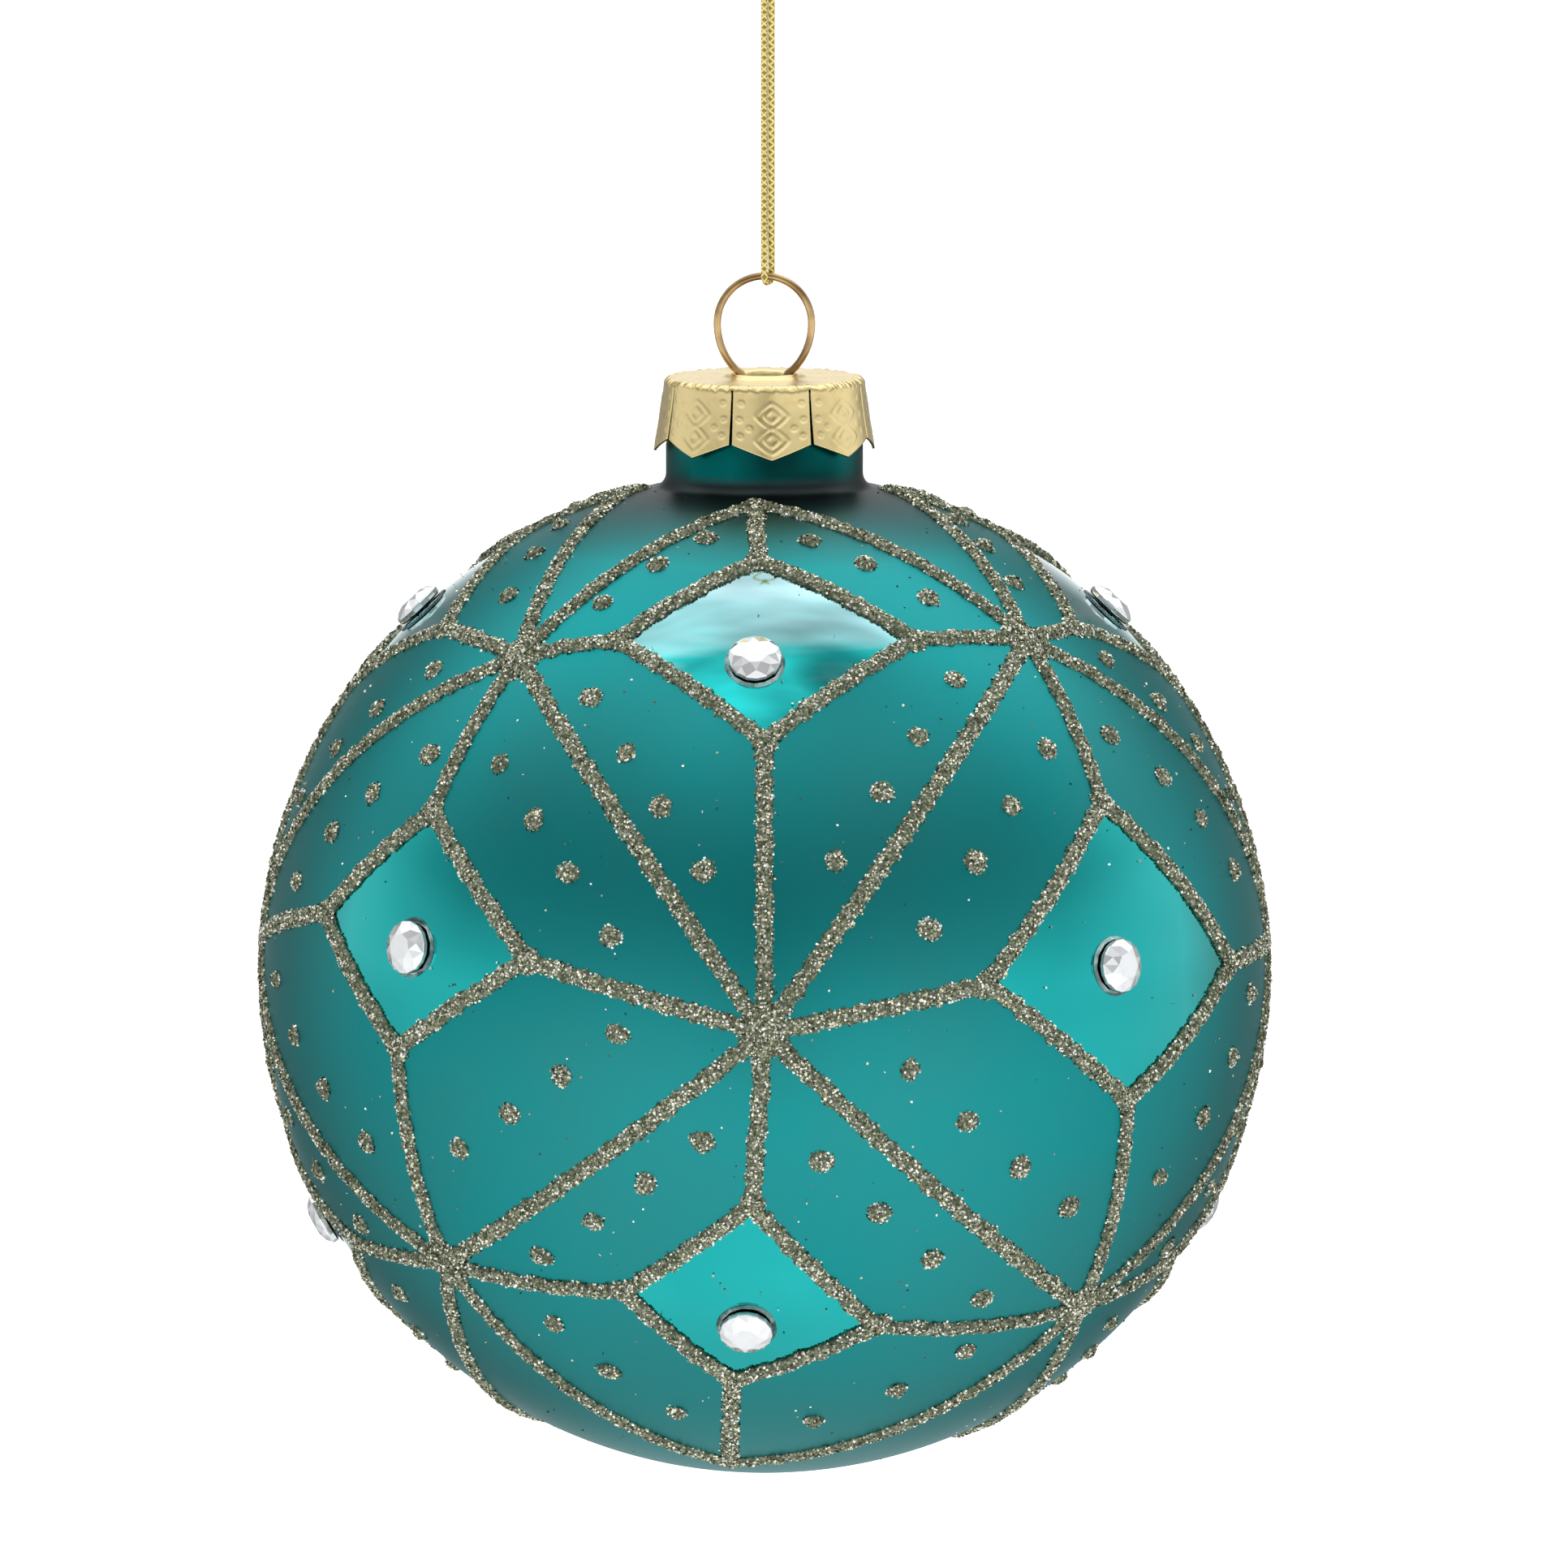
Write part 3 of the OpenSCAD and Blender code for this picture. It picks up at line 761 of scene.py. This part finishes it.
for k in range(4):
    rng = np.random.RandomState(70 + k)
    parts = []
    for a, b, left, shares in dot_rows(k):
        side = unit(np.cross(a, b))
        front = np.cross(side, a)
        angle = math.acos(float(a @ b))
        for share in shares:
            turn = share * angle
            over = left / 1000 / ball_r
            way = math.cos(over) * (math.cos(turn) * a + math.sin(turn) * front) + math.sin(over) * side
            parts += blob_of_glitter(way, dot_d * rng.uniform(0.9, 1.1), rng)
    piece(f"glitter_dabs_{k + 1}", parts, "ball", [f"glitter_dots_{k + 1}"])

# ---- stones -------------------------------------------------------------------------------------
# Faceted crystal stones with a foil back, one in the middle of each window. Each sits in a flat
# pad of clear glue that has run out a little beyond its edge.
stone_d = 0.0052
stone_h = 0.0015
pad_h = 0.0002
table_share = 0.5

crystal = Finish("foil-backed crystal")
sheen = crystal.noise(900, 1.0)
stone_look = crystal.surface(
    base_color=crystal.blend(sheen, (0.84, 0.87, 0.9), (0.95, 0.97, 0.98)),
    metallic=0.8,
    roughness=0.08,
    coat_weight=1.0,
    coat_roughness=0.02,
)
foil_finish = Finish("grey foil")
foil_grain = foil_finish.noise(2500, 2.0)
foil = foil_finish.surface(
    base_color=foil_finish.blend(foil_grain, (0.03, 0.05, 0.055), (0.09, 0.12, 0.13)),
    metallic=0.8,
    roughness=0.3,
)
glue_finish = Finish("clear glue")
ripple = glue_finish.noise(700, 1.0)
glue = glue_finish.surface(
    base_color=(0.75, 0.95, 0.93),
    transmission_weight=1.0,
    ior=1.42,
    roughness=0.06,
    normal=glue_finish.bump(ripple, 0.3, 0.0001),
)

# The stone's rings of points from its back to its table: how many points, their shares of its width
# and of its height, and how far the ring is turned, in eighths of a turn.
stone_rings = [
    (16, 0.9, 0.0, 0),
    (16, 0.98, 0.12, 0),
    (16, 1.0, 0.42, 0),
    (16, 0.98, 0.5, 0),
    (8, 0.78, 0.8, 0.5),
    (8, table_share, 1.0, 0),
]


def cut_stone(name, way, spin, stands_for):
    """A stone: crystal above its waist, and grey foil on the lower slope and the back."""
    across = unit(np.cross([0, 0, 1], way))
    other = np.cross(way, across)
    base = ball_r - coat_t + pad_h + 0.00003
    points, faces, rings = [], [], []
    for many, share, high, step in stone_rings:
        turn = (np.arange(many) + step * many / 8) * 2 * np.pi / many + spin
        rings.append([len(points) + i for i in range(many)])
        flat = np.cos(turn)[:, None] * across + np.sin(turn)[:, None] * other
        points += list(way * (base + high * stone_h) + flat * share * stone_d / 2 + ball_mid)
    sides = []
    for low, high in zip(rings[:4], rings[1:4]):
        sides += [[low[i], low[(i + 1) % 16], high[(i + 1) % 16], high[i]] for i in range(16)]
    girdle, star, table = rings[3], rings[4], rings[5]
    for i in range(8):
        j = (i + 1) % 8
        faces += [
            [girdle[2 * i], girdle[2 * i + 1], star[i]],
            [girdle[2 * i + 1], girdle[(2 * i + 2) % 16], star[i]],
            [girdle[2 * j], star[j], table[j], star[i]],
            [star[i], table[j], table[i]],
        ]
    faces.append(table)
    faces += sides[16:]
    foiled = [*sides[:16], rings[0][::-1]]
    made = piece(name, [(np.array(points), faces + foiled, stone_look, False)], "ball", stands_for)
    made.data.materials.append(foil)
    backs = {tuple(sorted(face)) for face in foiled}
    for face in made.data.polygons:
        if tuple(sorted(face.vertices)) in backs:
            face.material_index = 1


def pad_parts(way, rng):
    across = unit(np.cross([0, 0, 1], way))
    other = np.cross(way, across)
    turn = np.arange(48) * 2 * np.pi / 48
    wobble = waves(rng, 3)
    points, faces = [], []
    for share, high in ((1.0, 0.0), (0.985, 0.6), (0.93, 1.0)):
        reach = share * stone_d * 0.57 * (1 + 0.03 * wobble(turn / 1000))
        flat = reach[:, None] * (np.cos(turn)[:, None] * across + np.sin(turn)[:, None] * other)
        out = unit(way * ball_r + flat)
        points += list(out * (ball_r - coat_t + 0.00002 + high * (pad_h - 0.00003)) + ball_mid)
    for n in range(2):
        for i in range(48):
            j = (i + 1) % 48
            faces.append([48 * n + i, 48 * n + j, 48 * n + 48 + j, 48 * n + 48 + i])
    faces += [[47 - i for i in range(48)], [96 + i for i in range(48)]]
    return [(np.array(points), faces, glue, True)]


for i in range(1, 13):
    rng = np.random.RandomState(90 + i)
    low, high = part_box(f"stone_glue_{i}")
    way = unit(np.array((low + high) / 2) - ball_mid)
    cut_stone(f"crystal_{i}", way, rng.uniform(0, 2 * np.pi), [f"stone_{i}"])
    piece(f"glue_pad_{i}", pad_parts(way, rng), "ball", [f"stone_glue_{i}"])

# ---- cap ----------------------------------------------------------------------------------------
# Thin tin with a gold lacquer, stamped and drawn in one go: a flat crown with a raised lip round its
# hole, and a skirt slit into eight petals. Diamonds and small rings are pressed into each petal.
tin_t = 0.00025
petals = 8
petal_turn = math.radians(4)
slit_w = 0.0003
hole_r = 0.003
hole_deep = 0.0007
crown_r = 0.0098
skirt_r = 0.01065
cap_h = 0.0071
tip_h = 0.0015
columns = 60
stamp_h = 0.000055
lip_h = 0.0004
lip_out = 0.0003
lip_w = 0.0006
# The stamp in mm: two pairs of diamonds with their half widths, half heights and line widths, and
# small rings on both sides.
stamp_middles = (2.75, 5.15)
stamp_diamonds = ((1.5, 1.28, 0.11), (0.6, 0.58, 0.13))
stamp_dots = ((2.9, 1.5), (3.05, 3.1), (2.95, 4.7), (2.1, 3.95))
tin_gold = (0.95, 0.78, 0.39)
tin_worn = (0.86, 0.69, 0.32)


def stamp(x, y):
    """How far the pressed pattern stands out at x mm from a petal's middle and y mm below the crown."""
    raised = 0.0
    for middle in stamp_middles:
        for wide, tall, line in stamp_diamonds:
            off = ((abs(x) / wide) ** 1.2 + (abs(y - middle) / tall) ** 1.2) ** (1 / 1.2) - 1
            off *= wide * tall / math.hypot(wide, tall)
            raised = max(raised, math.exp(-((off / line) ** 2)))
    for dot_x, dot_y in stamp_dots:
        off = math.hypot(abs(x) - dot_x, y - dot_y) - 0.2
        raised = max(raised, 0.9 * math.exp(-((off / 0.1) ** 2)))
    return raised * stamp_h


def cap_parts(rng):
    pitch = 2 * math.pi / petals
    slit = slit_w / crown_r
    buckle = [waves(rng, 4) for _ in range(2)]
    crown_rings = [hole_r, *np.linspace(hole_r, hole_r + 0.0014, 8)]
    crown_rings += list(np.linspace(hole_r + 0.0018, crown_r - 0.0006, 10))
    bend = [(crown_r - 0.00045, 0.00003), (crown_r - 0.0002, 0.00012), (crown_r - 0.00005, 0.0003)]
    drops = np.linspace(0.0, 1.0, 46)
    notch, ragged, flare = waves(rng, 6), waves(rng, 6), rng.uniform(-0.2, 1.0, petals)
    turns = []
    petal_middles = [petal_turn + petal * pitch - math.pi / 2 for petal in range(petals)]
    for petal, middle in enumerate(petal_middles):
        for c in range(columns + 1):
            share = 2 * c / columns - 1
            turns.append((petal, share, middle + share * (pitch - slit) / 2))
    points, faces = [], []
    width = len(turns)
    for n, r in enumerate(crown_rings):
        for _, _, t in turns:
            across = math.sin(math.pi * (r - hole_r) / (crown_r - hole_r))
            dent = 0.00005 * math.cos(petals * (t - petal_turn)) * across
            lip = lip_h * math.exp(-(((r - hole_r - lip_out) / lip_w) ** 2)) if n else -hole_deep
            points.append((r * math.cos(t), r * math.sin(t), crown_z - 0.00006 + dent + lip))
    for r, drop in bend:
        for _, share, t in turns:
            torn = 0.00009 * float(ragged(np.array(t * 0.012)))
            chip = max(0.0, float(notch(np.array(t * 0.03))) - 0.2)
            far = r + torn - 0.0004 * chip
            points.append((far * math.cos(t), far * math.sin(t), crown_z - drop + 1.5 * torn - 0.0006 * chip))
    top = 0.00045
    for v in drops:
        for petal, share, t in turns:
            tall = cap_h - tip_h * abs(share) - top
            drop = top + v * tall
            lean = (skirt_r - crown_r) * (drop / cap_h) ** 1.2
            proud = 0.0002 * flare[petal] * (drop / cap_h) ** 2
            dent = 0.00005 * float(buckle[0](np.array(t * 0.0015))) * float(buckle[1](np.array(drop * 0.35)))
            x = share * (pitch - slit) / 2 * crown_r * 1000
            r = crown_r + lean + proud + dent + stamp(x, drop * 1000) - 0.00006
            narrow = petal_middles[petal] + (t - petal_middles[petal]) * (1 + 0.014 * (1 - v))
            points.append((r * math.cos(narrow), r * math.sin(narrow), crown_z - drop))
    rows = len(crown_rings) + len(bend) + len(drops)
    closed = len(crown_rings) + len(bend)
    for n in range(rows - 1):
        for i in range(width):
            j = (i + 1) % width
            at_slit = turns[i][0] != turns[j][0]
            if at_slit and n >= closed - 1:
                continue
            faces.append([n * width + i, n * width + j, (n + 1) * width + j, (n + 1) * width + i])
    return [(np.array(points), faces, tin, True)]


tin_finish = Finish("gold lacquered tin")
rub = tin_finish.noise(900, 4.0)
dust = tin_finish.noise(5200, 2.0)
tin = tin_finish.surface(
    base_color=tin_finish.blend(rub.step(0.3, 0.5), tin_worn, tin_gold),
    metallic=1.0,
    roughness=0.22 + 0.12 * rub,
    normal=tin_finish.bump(dust, 0.02, 0.00001),
)
cap = piece("petal_cap", cap_parts(np.random.RandomState(5)), "cap", ["cap"])
sheet = cap.modifiers.new("tin", "SOLIDIFY")
sheet.thickness = tin_t
sheet.offset = -1

# ---- wire ring ----------------------------------------------------------------------------------
# One length of springy gold-washed wire: a round ring above the cap, and two legs that go down
# through the hole and press outwards against the neck.
wire_d = 0.00075
ring_r = 0.004675
ring_rise = 0.0106
ring_mid = ring_rise - wire_d / 2 - ring_r
low_r = ring_mid + 0.00025
leave = math.radians(30)
leg = [(2.16, 0.1), (2.05, -0.5), (1.8, -1.3), (1.55, -2.2), (1.6, -3.2), (2, -4.4), (4, -10)]
leg += [(6, -15.6), (7.5, -19.8), (7.4, -20.6)]

wire_finish = Finish("gold-washed wire")
drawn = wire_finish.noise(1500, 3.0)
tarnish = wire_finish.noise(260, 2.0)
wire_look = wire_finish.surface(
    base_color=wire_finish.blend(tarnish.step(0.4, 0.6), (0.72, 0.5, 0.24), (0.36, 0.23, 0.11)),
    metallic=1.0,
    roughness=0.16 + 0.12 * drawn,
    normal=wire_finish.bump(drawn, 0.08, 0.00002),
)

right_leg = [(x / 1000, 0, z / 1000) for x, z in leg]
around = np.linspace(leave, 2 * math.pi - leave, 40)
ring = []
for t in around:
    tall = low_r if math.cos(t) > 0 else ring_r
    ring.append((ring_r * math.sin(t), 0, ring_mid - tall * math.cos(t)))
left_leg = [(-x, 0, z) for x, _, z in right_leg]
wire_line = smooth_line(np.array(right_leg[::-1] + ring + left_leg) + [0, 0, crown_z], 0.00025)
wire_parts = [(*tube(wire_line, wire_d / 2, 20), wire_look, True)]
piece("ring_and_legs", wire_parts, "wire_hanger", ["wire_hanger"])

# ---- studio -------------------------------------------------------------------------------------
# A white floor far below and one broad soft light overhead. The room round them is what the satin
# coat and the windows reflect: brighter and darker by height, and not the same in front and behind.
floor_z = -0.42
floor_r = 9
floor_finish = Finish("white floor")
paper = floor_finish.noise(3, 2.0)
floor_look = floor_finish.surface(
    base_color=floor_finish.blend(paper, (0.9, 0.9, 0.9), (0.93, 0.93, 0.93)),
    roughness=0.9,
    emission_color=(1, 1, 1),
    emission_strength=0.6,
)
turn = np.arange(96) * 2 * np.pi / 96
floor_mesh = bpy.data.meshes.new("floor")
floor_edge = [(floor_r * math.cos(t), floor_r * math.sin(t), floor_z) for t in turn]
floor_mesh.from_pydata(floor_edge, [], [list(range(len(floor_edge)))])
floor_mesh.materials.append(floor_look)
floor = bpy.data.objects.new("floor", floor_mesh)
bpy.context.collection.objects.link(floor)
floor.visible_glossy = False


def softbox(name, place, aim_at, wide, tall, power):
    light = bpy.data.lights.new(name, "AREA")
    light.shape = "RECTANGLE"
    light.size = wide
    light.size_y = tall
    light.energy = power
    made = bpy.data.objects.new(name, light)
    made.location = place
    made.rotation_euler = (Vector(aim_at) - Vector(place)).to_track_quat("-Z", "Y").to_euler()
    made.visible_camera = False
    made.visible_glossy = False
    bpy.context.collection.objects.link(made)


softbox("overhead light", (-0.25, -0.5, 1.3), tuple(ball_mid), 1.2, 0.9, 9)

bpy.context.scene.view_settings.view_transform = "Standard"
world = bpy.data.worlds.new("white room")
bpy.context.scene.world = world
room = Nodes(world)
ahead = room.node("TexCoord", out="Generated")
right, back, up = (room.node("SeparateXYZ", {}, {0: ahead}, out=axis) for axis in "XYZ")
room_bright = 1.65
# Each stop is a height, 0 straight down and 1 straight up, and how bright the room is there.
room_front = [(0.0, 0.55), (0.05, 0.62), (0.35, 0.76), (0.5, 0.62), (0.58, 0.4), (0.68, 0.2)]
room_front += [(0.8, 0.23), (0.9, 0.48), (0.96, 0.66), (1.0, 0.75)]
room_back = [(0.0, 0.44), (0.35, 0.5), (0.5, 0.64), (0.65, 0.5), (0.8, 0.8), (0.9, 1.0), (1.0, 0.8)]
front_part, back_part = (
    room.node("ValToRGB", {"stops": [(p, (v, v, v)) for p, v in stops]}, {"Fac": 0.5 + 0.5 * up})
    for stops in (room_front, room_back)
)
behind = back.step(-0.25, 0.35)
facing = room.node("Mix", {"data_type": "RGBA"}, {0: behind, 6: front_part, 7: back_part}, out=2)

# It is darker in the corners behind, low at both sides, in a narrow strip straight in front, and in
# one small patch high up on the right. Faint streaks run across the ceiling.
sideways = room.node("Math", {"operation": "ABSOLUTE"}, {0: right})
corners = back.step(0.38, 0.72) * sideways.step(0.1, 0.3) * (1 - up.step(0.55, 0.85))
low_sides = sideways.step(0.5, 0.95) * (1 - up.step(-0.1, 0.2))
strip = (1 - sideways.step(0.05, 0.13)) * (1 - back.step(-0.95, -0.8))
strip = strip * up.step(-0.35, -0.1) * (1 - up.step(0.5, 0.7))
smudge = (0.244 * right - 0.114 * back + 0.963 * up).step(0.985, 0.997)
gloom = (1 - 0.66 * corners) * (1 - 0.22 * low_sides) * (1 - 0.7 * strip) * (1 - 0.6 * smudge)
stretched = room.node("Mapping", {}, {0: ahead, 2: (0, 0, 0.35), 3: (1.5, 3.4, 1.0)})
streak = room.node("TexNoise", {}, {"Vector": stretched, "Scale": 1.6, "Detail": 2.0})
streaks = 1 + up.step(0.7, 0.9) * 2.2 * (streak - 0.5)
level = room_bright * gloom * streaks * (1 + 0.08 * right)
dim = room.node("Background", {}, {"Color": facing, "Strength": level})
white = room.node("Background", {}, {"Color": (1, 1, 1), "Strength": 1.2})
seen = room.node("LightPath", out="Is Camera Ray")
room.node("OutputWorld", {}, {"Surface": room.node("MixShader", {}, {0: seen, 1: dim, 2: white})})
